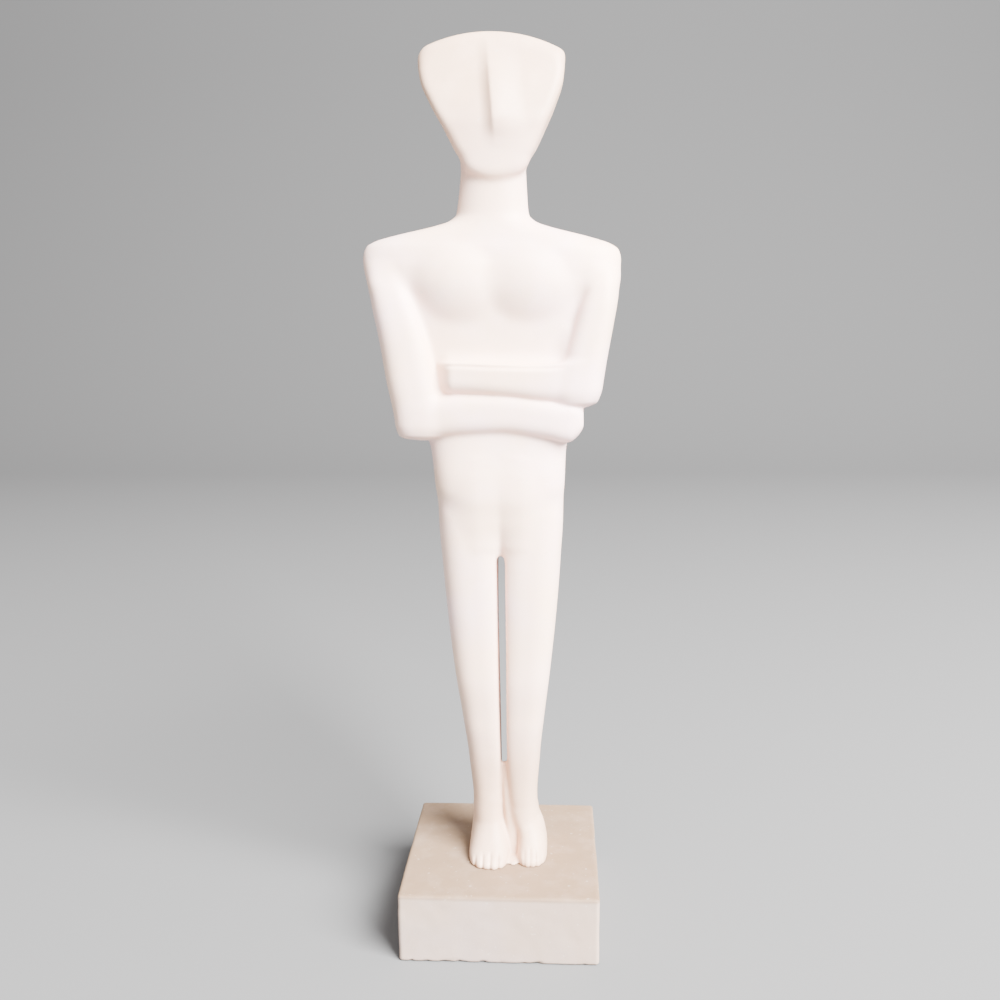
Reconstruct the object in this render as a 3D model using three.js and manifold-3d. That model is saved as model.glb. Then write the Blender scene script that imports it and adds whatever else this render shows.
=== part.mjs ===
import * as THREE from 'three';
import { LoftGeometry } from 'three/addons/geometries/LoftGeometry.js';
import { mergeVertices } from 'three/addons/utils/BufferGeometryUtils.js';
import Module from 'manifold-3d';

// A folded-arm figurine of the Cycladic kind, carved in one piece, on a square stone block.
// Millimetres, +Z up. It faces -Y, and the origin is the middle of the block's underside.

// Driving dimensions
const figureHeight = 332;
const plinthWidth = 80;
const plinthDepth = 80;
const plinthHeight = 28.5;
const plinthCorner = 1.6; // radius of the four upright corners
const plinthArris = 1; // rounding of the top and bottom arrises

// The figure's own form is in shares: hundredths of its height
const share = figureHeight / 100;

// Where its midline runs across the block: it was set a little to one side, it leans back across,
// and its chest is a little off its legs
const midlineStations = [
  { level: 0, x: 0.45 },
  { level: 12, x: 0.3 },
  { level: 18, x: 0.24 },
  { level: 30, x: 0.22 },
  { level: 44, x: 0.2 },
  { level: 49, x: 0.1 },
  { level: 54, x: -0.06 },
  { level: 60, x: -0.12 },
  { level: 66, x: -0.06 },
  { level: 69.5, x: -0.11 },
  { level: 74, x: -0.66 },
  { level: 77.5, x: -0.5 },
  { level: 80, x: -0.45 },
  { level: 84, x: -0.35 },
  { level: 100, x: -0.5 },
];

// How finely the forms are faceted
const headPoints = 32;
const trunkPoints = 36;
const armPoints = 18;
const legPoints = 22;
const footPoints = 20;
const nosePoints = 10;

// The figure's right shoulder, at -X, sits a little higher than its left one
const shoulderTilt = 0.024;
const shoulderLevel = 75;
const shoulderSpan = 9;

// Trunk from the groin up to inside the head: half width, half depth, middle of the depth
const trunkStations = [
  { level: 39.8, half: 5.6, deep: 1.8, y: 0.1, square: 2.4 },
  { level: 41.5, half: 6.9, deep: 2.9, y: 0.05, square: 2.4 },
  { level: 44, half: 7.42, deep: 3.85, y: 0, square: 2.5 },
  { level: 47.5, half: 7.75, deep: 4.2, y: -0.1, square: 2.6 },
  { level: 52, half: 8.08, deep: 3.75, y: -0.15, square: 2.7 },
  { level: 58, half: 10, deep: 3.6, y: 0.05, square: 3 },
  { level: 66, half: 12.3, deep: 3.7, y: 0.35, square: 3.2 },
  { level: 69.5, half: 13.6, deep: 3.8, y: 0.35, square: 3.2 },
  { level: 72, half: 14.7, deep: 3.95, y: 0.25, square: 3.2 },
  { level: 74.7, half: 15.2, deep: 3.85, y: 0.3, square: 3 },
  { level: 75.7, half: 14.85, deep: 3.7, y: 0.3, square: 2.8 },
  { level: 76.4, half: 13.8, deep: 3.55, y: 0.35, square: 2.6 },
  { level: 77, half: 11.75, deep: 3.4, y: 0.35, square: 2.5 },
  { level: 78.2, half: 6.8, deep: 3.2, y: 0.4, square: 2.4 },
  { level: 78.8, half: 5.1, deep: 3.1, y: 0.4, square: 2.3 },
  { level: 79.6, half: 4.25, deep: 3, y: 0.4, square: 2.2 },
  { level: 81, half: 4.05, deep: 2.95, y: 0.4, square: 2.2 },
  { level: 84, half: 3.8, deep: 2.85, y: 0.4, square: 2.2 },
  { level: 88, half: 3.6, deep: 2.6, y: 0.5, square: 2.2 },
];

// Head from the chin up, before the crown's arc closes it. The chin is a little off the midline
const headStations = [
  { level: 83.1, x: 0.25, half: 1.3, deep: 1, y: -1.7, square: 2.2 },
  { level: 83.7, x: 0.25, half: 2.7, deep: 1.9, y: -1.25, square: 2.2 },
  { level: 84.6, x: 0.28, half: 3.6, deep: 2.6, y: -0.7, square: 2.3 },
  { level: 86.6, x: 0.3, half: 4.55, deep: 3, y: -0.3, square: 2.4 },
  { level: 89, x: 0.25, half: 5.8, deep: 3.15, y: -0.05, square: 2.6 },
  { level: 91.4, x: 0.15, half: 7.03, deep: 3, y: 0.2, square: 2.8 },
  { level: 94.4, x: 0.05, half: 8.17, deep: 2.5, y: 0.6, square: 3 },
  { level: 97, x: 0, half: 8.48, deep: 2, y: 0.95, square: 3 },
  { level: 100, x: 0, half: 8.6, deep: 1.5, y: 1.25, square: 3 },
];
const crownFall = 4.2; // how far below the top the crown's arc takes over from the cheeks
const crownRings = 8;
const crownRadius = 18.2; // the crown is an arc of a circle, seen from the front
const crownAcross = -0.5; // middle of that arc
const crownLeft = 2.3; // softness of the corner at -X, where the arc meets the cheek
const crownRight = 0.6; // and of the sharper one at +X
const crownEdge = 2.2; // height over which the head thins to the crown
const crownThin = 0.06; // how little of that thickness is left at the very top

// Nose, a long ridge that grows out of the brow and slants a little to +X on its way down
const noseStations = [
  { level: 88.5, x: 0.45, half: 0.72, deep: 0.8, y: -2.9, square: 2 },
  { level: 89.9, x: 0.4, half: 0.88, deep: 1.1, y: -2.9, square: 2 },
  { level: 93.5, x: 0.08, half: 0.72, deep: 0.95, y: -1.9, square: 2 },
  { level: 96.5, x: -0.15, half: 0.6, deep: 0.7, y: -0.75, square: 2 },
  { level: 98.5, x: -0.3, half: 0.5, deep: 0.5, y: 0.1, square: 2 },
];

// Upper arms: x is the middle of each, from the midline out. The right arm is the figure's own right,
// at -X, and its elbow hangs lower
const rightArmStations = [
  { level: 53.7, x: 9.6, half: 2, deep: 2.8, y: -0.9, square: 2.6 },
  { level: 54.2, x: 9.45, half: 2.45, deep: 3.5, y: -0.9, square: 2.8 },
  { level: 55.5, x: 9.25, half: 2.95, deep: 3.9, y: -0.85, square: 3 },
  { level: 61.3, x: 10, half: 3.2, deep: 4.1, y: -0.6, square: 3 },
  { level: 66.2, x: 11, half: 3, deep: 4.1, y: -0.35, square: 3 },
  { level: 69, x: 11.7, half: 2.65, deep: 4, y: -0.2, square: 3 },
  { level: 71, x: 12.3, half: 2.35, deep: 3.75, y: -0.05, square: 3 },
  { level: 72.8, x: 12.7, half: 2.05, deep: 3.2, y: 0.1, square: 2.6 },
  { level: 74.6, x: 12.8, half: 1.5, deep: 2.3, y: 0.25, square: 2.4 },
];
const leftArmStations = [
  { level: 57.4, x: 9.3, half: 1.9, deep: 2.8, y: -0.9, square: 2.6 },
  { level: 58, x: 9.5, half: 2.45, deep: 3.6, y: -0.9, square: 2.8 },
  { level: 59.5, x: 9.7, half: 2.8, deep: 4, y: -0.8, square: 3 },
  { level: 63.7, x: 10.45, half: 2.7, deep: 4.1, y: -0.5, square: 3 },
  { level: 68.5, x: 11.6, half: 2.4, deep: 4, y: -0.25, square: 3 },
  { level: 71, x: 12.2, half: 2.25, deep: 3.75, y: 0, square: 2.9 },
  { level: 72.8, x: 12.5, half: 2, deep: 3.2, y: 0.1, square: 2.6 },
  { level: 74.6, x: 12.6, half: 1.5, deep: 2.3, y: 0.25, square: 2.4 },
];

// Forearms, laid level across the waist: level runs along X here, z is the middle's height and half is
// half the height. The left one lies above the right one, as on the folded-arm kind
const leftForearmStations = [
  { level: -6, z: 60.85, half: 1.75, deep: 1.9, y: -2.05, square: 3.6 },
  { level: -5.2, z: 60.8, half: 1.96, deep: 2.75, y: -2.05, square: 3.6 },
  { level: 0.5, z: 60.5, half: 2.05, deep: 2.85, y: -2.2, square: 3.4 },
  { level: 6, z: 60.1, half: 2.35, deep: 2.8, y: -2.15, square: 3.2 },
  { level: 9.5, z: 60.1, half: 2.6, deep: 2.6, y: -1.95, square: 2.8 },
  { level: 11.4, z: 60.4, half: 2.3, deep: 2.2, y: -1.6, square: 2.6 },
];
const rightForearmStations = [
  { level: -11.1, z: 56.4, half: 2, deep: 2.2, y: -1.5, square: 2.6 },
  { level: -9, z: 56.2, half: 2.45, deep: 2.6, y: -1.85, square: 2.8 },
  { level: -4, z: 56.65, half: 2.55, deep: 2.7, y: -2.05, square: 3 },
  { level: 0.5, z: 56.7, half: 2.4, deep: 2.7, y: -2.1, square: 3.2 },
  { level: 6, z: 56, half: 2.4, deep: 2.7, y: -2.05, square: 3.2 },
  { level: 8.6, z: 55.65, half: 2.4, deep: 2.55, y: -1.9, square: 3.2 },
  { level: 10.2, z: 56, half: 1.5, deep: 2, y: -1.75, square: 3 },
];

// One leg: its inner and outer sides, from the midline out. The inner sides cross the midline, and the
// slot below parts them
const legStations = [
  { level: 4.8, inner: 0.4, outer: 4.08, deep: 2.65, y: 0.6, square: 2.3 },
  { level: 8.3, inner: 0.05, outer: 4.12, deep: 2.7, y: 0.5, square: 2.3 },
  { level: 13.1, inner: -0.35, outer: 4.55, deep: 3.05, y: 0.45, square: 2.3 },
  { level: 18, inner: -0.35, outer: 5.15, deep: 3.4, y: 0.4, square: 2.3 },
  { level: 24, inner: -0.35, outer: 5.9, deep: 3.4, y: -0.1, square: 2.3 },
  { level: 32.4, inner: -0.35, outer: 6.75, deep: 3.75, y: -0.15, square: 2.3 },
  { level: 39, inner: -0.35, outer: 7.3, deep: 4.05, y: 0, square: 2.3 },
  { level: 44, inner: -0.35, outer: 7.6, deep: 4.15, y: 0.15, square: 2.3 },
  { level: 50, inner: -0.35, outer: 7.2, deep: 2.8, y: 0.2, square: 2.3 },
];

// The slot between the legs: it is open right through, down to the stone that joins the ankles
const gapTop = 39.3;
const gapBottom = 7;
const gapHalfTop = 0.56;
const gapHalfBottom = 0.46;
const gapReach = 6; // the cutter runs past the legs, front and back

// The recessed stone that joins the ankles, down to the block
const webStations = [
  { level: -1, x: 0.45, half: 0.9, deep: 2.3, y: 0.6, square: 3 },
  { level: 5, x: 0.45, half: 0.95, deep: 2.1, y: 0.55, square: 3 },
  { level: 10.7, x: 0.4, half: 0.95, deep: 1.9, y: 0.7, square: 3 },
];

// Feet, flat on the block, each with five toes: middle and half of the width, the front of the toes,
// the heel, and the middle of the ankle
const feet = [
  { x: -2.1, half: 2.57, front: -5.9, back: 3.6, ankle: -2.2 },
  { x: 3.4, half: 1.87, front: -5.1, back: 3.6, ankle: 2.2 },
];
const shin = -1.95; // where the instep ends, at the front of the ankle
const ankleHalf = 1.85;
const ankleBack = 3.2;

// How a foot changes upwards: how far the instep has run back from the toes to the shin, its width, and
// how near it is to the ankle's own place and size
const footStations = [
  { level: -1, run: 0.1, wide: 1, near: 0, square: 3 },
  { level: 1, run: 0.18, wide: 1, near: 0, square: 2.9 },
  { level: 1.7, run: 0.4, wide: 0.97, near: 0.03, square: 2.7 },
  { level: 2.5, run: 0.62, wide: 0.94, near: 0.12, square: 2.5 },
  { level: 3.4, run: 0.8, wide: 0.92, near: 0.32, square: 2.4 },
  { level: 4.6, run: 0.94, wide: 0.88, near: 0.7, square: 2.3 },
  { level: 6, run: 1, wide: 0.82, near: 1, square: 2.3 },
];
const toeCount = 5;
const toeCurve = 1.1; // how far the outermost toes stand back
const toeHeight = 0.75;
const toeLength = 1.5;
const bigToe = 1.35; // width of the big toe, against a small one

// Two low breasts
const breastAcross = 4.1;
const breastLevel = 72.3;
const breastRadius = 4.3;
const breastSquash = 0.85; // height against width
const breastSwell = 1.75;
const breastFront = -2.6;

// The spine, a shallow groove down the back
const spineTop = 73;
const spineBottom = 50;
const spineHalf = 0.8;
const spineDeep = 0.55;

const stone = { color: 0xf3efea, roughness: 0.6, metalness: 0 };
const plinthStone = { color: 0xe3d8d0, roughness: 0.7, metalness: 0 };

const wasm = await Module();
wasm.setup();

// How steep a measure runs at one of its stations, flat where it turns
function slopeAt(stations, name, i) {
  const rise = (a, b) => (b[name] - a[name]) / (b.level - a.level);
  if (i === 0) return rise(stations[0], stations[1]);
  if (i === stations.length - 1) return rise(stations[i - 1], stations[i]);
  const before = rise(stations[i - 1], stations[i]);
  const after = rise(stations[i], stations[i + 1]);
  return before * after > 0 ? (2 * before * after) / (before + after) : 0;
}

// A measure between its stations, on a smooth curve that never overshoots them
function measureAt(stations, name, level) {
  let i = 0;
  while (i < stations.length - 2 && level > stations[i + 1].level) i += 1;
  const from = stations[i];
  const to = stations[i + 1];
  const span = to.level - from.level;
  const t = (level - from.level) / span;
  const blend = t * t * (3 - 2 * t);
  const leave = t * (1 - t) * (1 - t) * span * slopeAt(stations, name, i);
  const arrive = t * t * (t - 1) * span * slopeAt(stations, name, i + 1);
  return from[name] + (to[name] - from[name]) * blend + leave + arrive;
}

// Levels for the rings of a loft, the same number between each two stations
function levelsOf(stations, steps) {
  const levels = [];
  for (let i = 0; i < stations.length - 1; i += 1) {
    for (let k = 0; k < steps; k += 1) {
      levels.push(THREE.MathUtils.lerp(stations[i].level, stations[i + 1].level, k / steps));
    }
  }
  levels.push(stations.at(-1).level);
  return levels;
}

// One ring of a loft, a rounded outline between an ellipse and a rectangle
function ring(centre, halfU, halfV, square, u, v, points) {
  const outline = [];
  for (let i = 0; i < points; i += 1) {
    const angle = ((i + 0.5) / points) * Math.PI * 2;
    const c = Math.cos(angle);
    const s = Math.sin(angle);
    const across = halfU * Math.sign(c) * Math.abs(c) ** (2 / square);
    const deep = halfV * Math.sign(s) * Math.abs(s) ** (2 / square);
    outline.push(centre.clone().addScaledVector(u, across).addScaledVector(v, deep).multiplyScalar(share));
  }
  return outline;
}

const X = new THREE.Vector3(1, 0, 0);
const Y = new THREE.Vector3(0, 1, 0);
const Z = new THREE.Vector3(0, 0, 1);

// A closed mesh becomes a solid that can be joined and cut
function solidOf(geometry) {
  const bare = new THREE.BufferGeometry();
  bare.setAttribute('position', geometry.getAttribute('position'));
  bare.setIndex(geometry.index);
  const merged = mergeVertices(bare);
  const vertProperties = new Float32Array(merged.attributes.position.array);
  const triVerts = new Uint32Array(merged.index.array);
  return new wasm.Manifold(new wasm.Mesh({ numProp: 3, vertProperties, triVerts }));
}

function loftSolid(sections) {
  return solidOf(new LoftGeometry(sections, { capStart: true, capEnd: true }));
}

// A form whose rings lie level, one above the other; side mirrors it across the midline. Stations
// with no x of their own stand on the midline
function uprightForm(stations, steps, points, side = 1) {
  const sections = levelsOf(stations, steps).map((level) => {
    const at = (name) => measureAt(stations, name, level);
    const across = 'x' in stations[0] ? side * at('x') : 0;
    const centre = new THREE.Vector3(across, at('y'), level);
    return ring(centre, at('half'), at('deep'), at('square'), X, Y, points);
  });
  return loftSolid(sections);
}

// The lesser of two measures, rounded off where they cross
function softLeast(a, b, round) {
  const near = Math.max(0, 2 * round - Math.abs(a - b)) / (2 * round);
  return Math.min(a, b) - near * near * round * 0.5;
}

function head() {
  const top = headStations.at(-1).level;
  const levels = levelsOf(headStations, 2).filter((level) => level < top - crownFall);
  for (let i = 0; i < crownRings; i += 1) {
    const t = 1 - i / crownRings;
    levels.push(top - crownFall * t * t);
  }
  const sections = levels.map((level) => {
    const at = (name) => measureAt(headStations, name, level);
    const below = top - level;
    const arc = Math.sqrt(2 * crownRadius * below - below * below);
    const right = softLeast(at('half') + at('x'), arc + crownAcross, crownRight);
    const left = softLeast(at('half') - at('x'), arc - crownAcross, crownLeft);
    const thin = Math.sqrt(Math.min(1, crownThin + below / crownEdge));
    const centre = new THREE.Vector3((right - left) / 2, at('y'), level);
    return ring(centre, (right + left) / 2, at('deep') * thin, at('square'), X, Y, headPoints);
  });
  return loftSolid(sections);
}

function forearm(stations) {
  const sections = levelsOf(stations, 2).map((level) => {
    const at = (name) => measureAt(stations, name, level);
    const centre = new THREE.Vector3(level, at('y'), at('z'));
    return ring(centre, at('deep'), at('half'), at('square'), Y, Z, armPoints);
  });
  return loftSolid(sections);
}

function leg(side) {
  const sections = levelsOf(legStations, 2).map((level) => {
    const at = (name) => measureAt(legStations, name, level);
    const half = (at('outer') - at('inner')) / 2;
    const centre = new THREE.Vector3(side * (at('inner') + half), at('y'), level);
    return ring(centre, half, at('deep'), at('square'), X, Y, legPoints);
  });
  return loftSolid(sections);
}

function foot({ x, half, front, back, ankle }) {
  const stations = footStations.map(({ level, run, wide, near, square }) => {
    const tip = THREE.MathUtils.lerp(front, shin, run);
    const heel = THREE.MathUtils.lerp(back, ankleBack, near);
    const across = THREE.MathUtils.lerp(x, ankle, near);
    const width = THREE.MathUtils.lerp(half * wide, ankleHalf, near);
    return { level, x: across, half: width, deep: (heel - tip) / 2, y: (heel + tip) / 2, square };
  });
  return uprightForm(stations, 1, footPoints);
}

// Toes side by side along the front of a foot, the big one on the inner side
function toes({ x, half, front }) {
  const inward = -Math.sign(x);
  const narrow = (half * 2) / (toeCount - 1 + bigToe);
  const made = [];
  let edge = -inward * half;
  for (let i = 0; i < toeCount; i += 1) {
    const width = i === toeCount - 1 ? narrow * bigToe : narrow;
    const middle = edge + (inward * width) / 2;
    edge += inward * width;
    const tip = front + toeCurve * (middle / half) ** 2;
    const toe = new THREE.SphereGeometry(share, 8, 6);
    toe.rotateX(Math.PI / 2);
    toe.scale(width * 0.55, toeLength, toeHeight);
    toe.translate((x + middle) * share, (tip + toeLength) * share, 0.7 * toeHeight * share);
    made.push(solidOf(toe));
  }
  return made;
}

function breast(side) {
  const bump = new THREE.SphereGeometry(share, 14, 9);
  bump.scale(breastRadius, breastSwell, breastRadius * breastSquash);
  bump.translate(side * breastAcross * share, breastFront * share, breastLevel * share);
  return solidOf(bump);
}

// A closed outline in the front view, as a cutter that runs right through from front to back
function cutThrough(outline) {
  const reach = gapReach * share;
  const settings = { depth: 2 * reach, bevelEnabled: false, curveSegments: 6 };
  const slab = new THREE.ExtrudeGeometry(outline, settings);
  slab.rotateX(Math.PI / 2);
  slab.translate(0, reach, 0);
  return solidOf(slab);
}

function legGap() {
  const top = (gapTop - gapHalfTop) * share;
  const bottom = (gapBottom + gapHalfBottom) * share;
  const outline = new THREE.Shape();
  outline.absarc(0, top, gapHalfTop * share, 0, Math.PI);
  outline.absarc(0, bottom, gapHalfBottom * share, Math.PI, 2 * Math.PI);
  outline.closePath();
  return cutThrough(outline);
}

// A shallow V groove down the back, deepest at its middle, with a section at each ring of the trunk
function spineGroove() {
  const levels = levelsOf(trunkStations, 2).filter((level) => level > spineBottom && level < spineTop);
  const sections = levels.map((level) => {
    const fade = Math.sin((Math.PI * (level - spineBottom)) / (spineTop - spineBottom));
    const skin = measureAt(trunkStations, 'y', level) + measureAt(trunkStations, 'deep', level);
    const half = spineHalf * (0.4 + 0.6 * fade);
    const outline = [
      new THREE.Vector3(0, skin - spineDeep * fade, level),
      new THREE.Vector3(half, skin, level),
      new THREE.Vector3(half, skin + 1, level),
      new THREE.Vector3(-half, skin + 1, level),
      new THREE.Vector3(-half, skin, level),
    ];
    return outline.map((p) => p.multiplyScalar(share));
  });
  return loftSolid(sections);
}

// One shoulder sits higher, and the midline wanders across the block; the soles stay flat
function settled(solid) {
  return solid.warp((v) => {
    const off = (v[2] / share - shoulderLevel) / shoulderSpan;
    const near = Math.max(0, 1 - off * off);
    v[2] -= shoulderTilt * v[0] * near * near;
    v[0] += measureAt(midlineStations, 'x', v[2] / share) * share;
  });
}

function figureSolid() {
  const web = uprightForm(webStations, 1, armPoints);
  const forms = [
    uprightForm(trunkStations, 2, trunkPoints),
    head(),
    uprightForm(noseStations, 2, nosePoints),
    uprightForm(rightArmStations, 2, armPoints, -1),
    uprightForm(leftArmStations, 2, armPoints),
    forearm(leftForearmStations),
    forearm(rightForearmStations),
    breast(-1),
    breast(1),
    leg(-1),
    leg(1),
    ...feet.map(foot),
    ...feet.flatMap(toes),
  ];
  const whole = forms.reduce((sum, form) => sum.add(form));
  const opened = whole.subtract(legGap()).subtract(spineGroove()).add(web);
  // the soles are cut flat where the block's top lies
  return settled(opened.trimByPlane([0, 0, 1], 0));
}

function meshOf(name, solid, finish) {
  const { vertProperties, triVerts } = solid.getMesh();
  const geometry = new THREE.BufferGeometry();
  geometry.setAttribute('position', new THREE.BufferAttribute(vertProperties, 3));
  geometry.setIndex(new THREE.BufferAttribute(triVerts, 1));
  geometry.computeVertexNormals();
  const mesh = new THREE.Mesh(geometry, new THREE.MeshStandardMaterial(finish));
  mesh.name = name;
  return mesh;
}

function plinth() {
  const x = plinthWidth / 2 - plinthArris;
  const y = plinthDepth / 2 - plinthArris;
  const r = plinthCorner;
  const outline = new THREE.Shape();
  outline.absarc(x - r, y - r, r, 0, Math.PI / 2);
  outline.absarc(-x + r, y - r, r, Math.PI / 2, Math.PI);
  outline.absarc(-x + r, -y + r, r, Math.PI, 1.5 * Math.PI);
  outline.absarc(x - r, -y + r, r, 1.5 * Math.PI, 2 * Math.PI);
  const block = new THREE.ExtrudeGeometry(outline, {
    depth: plinthHeight - 2 * plinthArris,
    bevelThickness: plinthArris,
    bevelSize: plinthArris,
    bevelSegments: 2,
    curveSegments: 3,
  });
  block.translate(0, 0, plinthArris);
  return meshOf('plinth', solidOf(block), plinthStone);
}

const group = new THREE.Group();
const figure = meshOf('figure', figureSolid(), stone);
figure.position.set(0, 0, plinthHeight);
group.add(figure, plinth());

export default group;
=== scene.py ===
# Folded-arm stone figurine on its square block: the looks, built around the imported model
import math

import bpy
import numpy as np
from mathutils import Matrix, Vector


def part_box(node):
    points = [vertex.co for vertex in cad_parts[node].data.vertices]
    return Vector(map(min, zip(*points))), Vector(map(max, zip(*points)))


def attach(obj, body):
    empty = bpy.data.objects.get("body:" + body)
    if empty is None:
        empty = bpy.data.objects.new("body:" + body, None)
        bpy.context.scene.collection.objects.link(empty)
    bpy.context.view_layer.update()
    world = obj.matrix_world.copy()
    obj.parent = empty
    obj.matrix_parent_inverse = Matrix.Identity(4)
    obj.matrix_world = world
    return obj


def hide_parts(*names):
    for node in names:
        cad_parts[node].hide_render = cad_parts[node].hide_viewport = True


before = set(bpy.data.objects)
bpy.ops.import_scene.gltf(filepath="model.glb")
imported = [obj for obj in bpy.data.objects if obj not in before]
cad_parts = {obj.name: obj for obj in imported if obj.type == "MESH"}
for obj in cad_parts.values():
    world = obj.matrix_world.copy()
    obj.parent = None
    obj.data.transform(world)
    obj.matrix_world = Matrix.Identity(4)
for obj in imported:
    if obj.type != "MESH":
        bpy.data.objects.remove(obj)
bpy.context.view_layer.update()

mm = 0.001
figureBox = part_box("figure")
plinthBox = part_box("plinth")
plinthTop = plinthBox[1][2] / mm
figureHeight = figureBox[1][2] / mm - plinthTop
share = figureHeight / 100  # the figure's own form is in hundredths of its height
print("figure", round(figureHeight, 1), "mm high, on a block of", round(plinthTop, 1), "mm")


# Camera

cameraView = {
    "x": 0.0233, "y": -0.4007, "z": 0.2504,
    "turn": 3.30, "tilt": -9.89, "roll": 0.61,  # degrees: to the left, up, and clockwise
    "lens": 36.1, "sensor": 36.0, "nearest": 0.01,
}


def makeCamera(view):
    turn = Matrix.Rotation(math.radians(view["turn"]), 3, "Z")
    tilt = Matrix.Rotation(math.radians(view["tilt"]), 3, "X")
    roll = Matrix.Rotation(math.radians(view["roll"]), 3, "Y")
    facing = turn @ tilt @ roll
    right, ahead, up = facing.col[0], facing.col[1], facing.col[2]
    data = bpy.data.cameras.new("photoCamera")
    data.lens = view["lens"]
    data.sensor_width = view["sensor"]
    data.clip_start = view["nearest"]
    camera = bpy.data.objects.new("photoCamera", data)
    bpy.context.scene.collection.objects.link(camera)
    turned = Matrix((right, up, -ahead)).transposed().to_4x4()
    camera.matrix_world = Matrix.Translation((view["x"], view["y"], view["z"])) @ turned
    bpy.context.scene.camera = camera


makeCamera(cameraView)
print("camera set")


# Node wires

class Wire:
    def __init__(self, tree, socket):
        self.tree = tree
        self.socket = socket

    def math(self, operation, first, second=0.0):
        node = self.tree.nodes.new("ShaderNodeMath")
        node.operation = operation
        for slot, value in enumerate((first, second)):
            if isinstance(value, Wire):
                self.tree.links.new(value.socket, node.inputs[slot])
            else:
                node.inputs[slot].default_value = value
        return Wire(self.tree, node.outputs[0])

    def __add__(self, other):
        return self.math("ADD", self, other)

    def __radd__(self, other):
        return self.math("ADD", other, self)

    def __sub__(self, other):
        return self.math("SUBTRACT", self, other)

    def __rsub__(self, other):
        return self.math("SUBTRACT", other, self)

    def __mul__(self, other):
        return self.math("MULTIPLY", self, other)

    def __rtruediv__(self, other):
        return self.math("DIVIDE", other, self)

    def __pow__(self, other):
        return self.math("POWER", self, other)

    def size(self):
        return self.math("ABSOLUTE", self)

    def sign(self):
        return self.math("SIGN", self)


class Bench:
    # lays the nodes of one tree: settings first, then the values or wires of the inputs
    def __init__(self, tree):
        self.tree = tree

    def add(self, kind, settings, values, out=0):
        node = self.tree.nodes.new(kind)
        for name, value in settings.items():
            setattr(node, name, value)
        for name, value in values.items():
            if isinstance(value, Wire):
                self.tree.links.new(value.socket, node.inputs[name])
            else:
                node.inputs[name].default_value = value
        return Wire(self.tree, node.outputs[out])

    def fade(self, value, low, high):
        values = {"Value": value, "From Min": low, "From Max": high}
        return self.add("ShaderNodeMapRange", {"interpolation_type": "SMOOTHSTEP"}, values)

    def noise(self, place, size, detail, rough):
        values = {"Vector": place, "Scale": 1 / size, "Detail": detail, "Roughness": rough}
        return self.add("ShaderNodeTexNoise", {}, values)

    def vector(self, operation, first, second):
        return self.add("ShaderNodeVectorMath", {"operation": operation}, {0: first, 1: second})

    def tint(self, amount, first, second):
        return self.add("ShaderNodeMix", {"data_type": "RGBA"}, {0: amount, 6: first, 7: second}, 2)


# Stone finishes

# sizes in metres. "end" is painted shade: a darker tint that fades in between two distances away from a
# middle height, laid on the head and the feet of the figure and on the top of the block
figureStone = {
    "cool": (0.90, 0.65, 0.62, 1), "warm": (0.89, 0.63, 0.48, 1), "cloudSize": 0.05,
    "patch": (0.80, 0.57, 0.43, 1), "patchStrength": 0.4, "patchSize": 0.016,
    # painted shade: "end" darkens the head and the feet, away from the figure's middle height
    "end": (0.60, 0.40, 0.27, 1), "shadeStrength": 0.9, "shadeMiddle": 0.2, "shadeFrom": 0.08, "shadeTo": 0.14,
    "speck": (0.62, 0.57, 0.51, 1), "speckStrength": 0.25, "speckFrom": 0.72, "speckSize": 0.0022,
    "roughness": 0.5, "roughSpread": 0.12, "sheen": 0.42,
    "grainSize": 0.0009, "rubSize": 0.0035, "pit": 0.5, "bump": 0.35, "bumpHeight": 0.00008,
    "glow": 0.2, "glowDepth": 0.0025,
}
plinthStone = {
    "cool": (0.38, 0.29, 0.25, 1), "warm": (0.38, 0.28, 0.22, 1), "cloudSize": 0.03,
    "patch": (0.32, 0.23, 0.175, 1), "patchStrength": 0.24, "patchSize": 0.010,
    # painted shade: "end" darkens the top face of the block
    "end": (0.19, 0.12, 0.068, 1), "shadeStrength": 0.92, "shadeMiddle": 0, "shadeFrom": 0.0262, "shadeTo": 0.0282,
    "speck": (0.5, 0.43, 0.37, 1), "speckStrength": 0.25, "speckFrom": 0.70, "speckSize": 0.0018,
    "roughness": 0.62, "roughSpread": 0.14, "sheen": 0.35,
    "grainSize": 0.0008, "rubSize": 0.0025, "pit": 0.6, "bump": 0.45, "bumpHeight": 0.0001,
    "glow": 0.12, "glowDepth": 0.0018,
}
# what both stones share: detail and roughness of each noise, and the noise values that a mark fades between
stonePattern = {
    "clouds": (3.0, 0.5), "patches": (4.0, 0.6), "grain": (2.0, 0.5), "rubs": (3.0, 0.65),
    "specks": (1.0, 0.5),
    "cloudFade": (0.35, 0.65), "patchFade": (0.45, 0.7), "speckFade": 0.05,
    "speckRough": 0.1, "grainShare": 0.5, "rubShare": 0.5, "glowRadius": (1.0, 0.8, 0.65),
}


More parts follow.
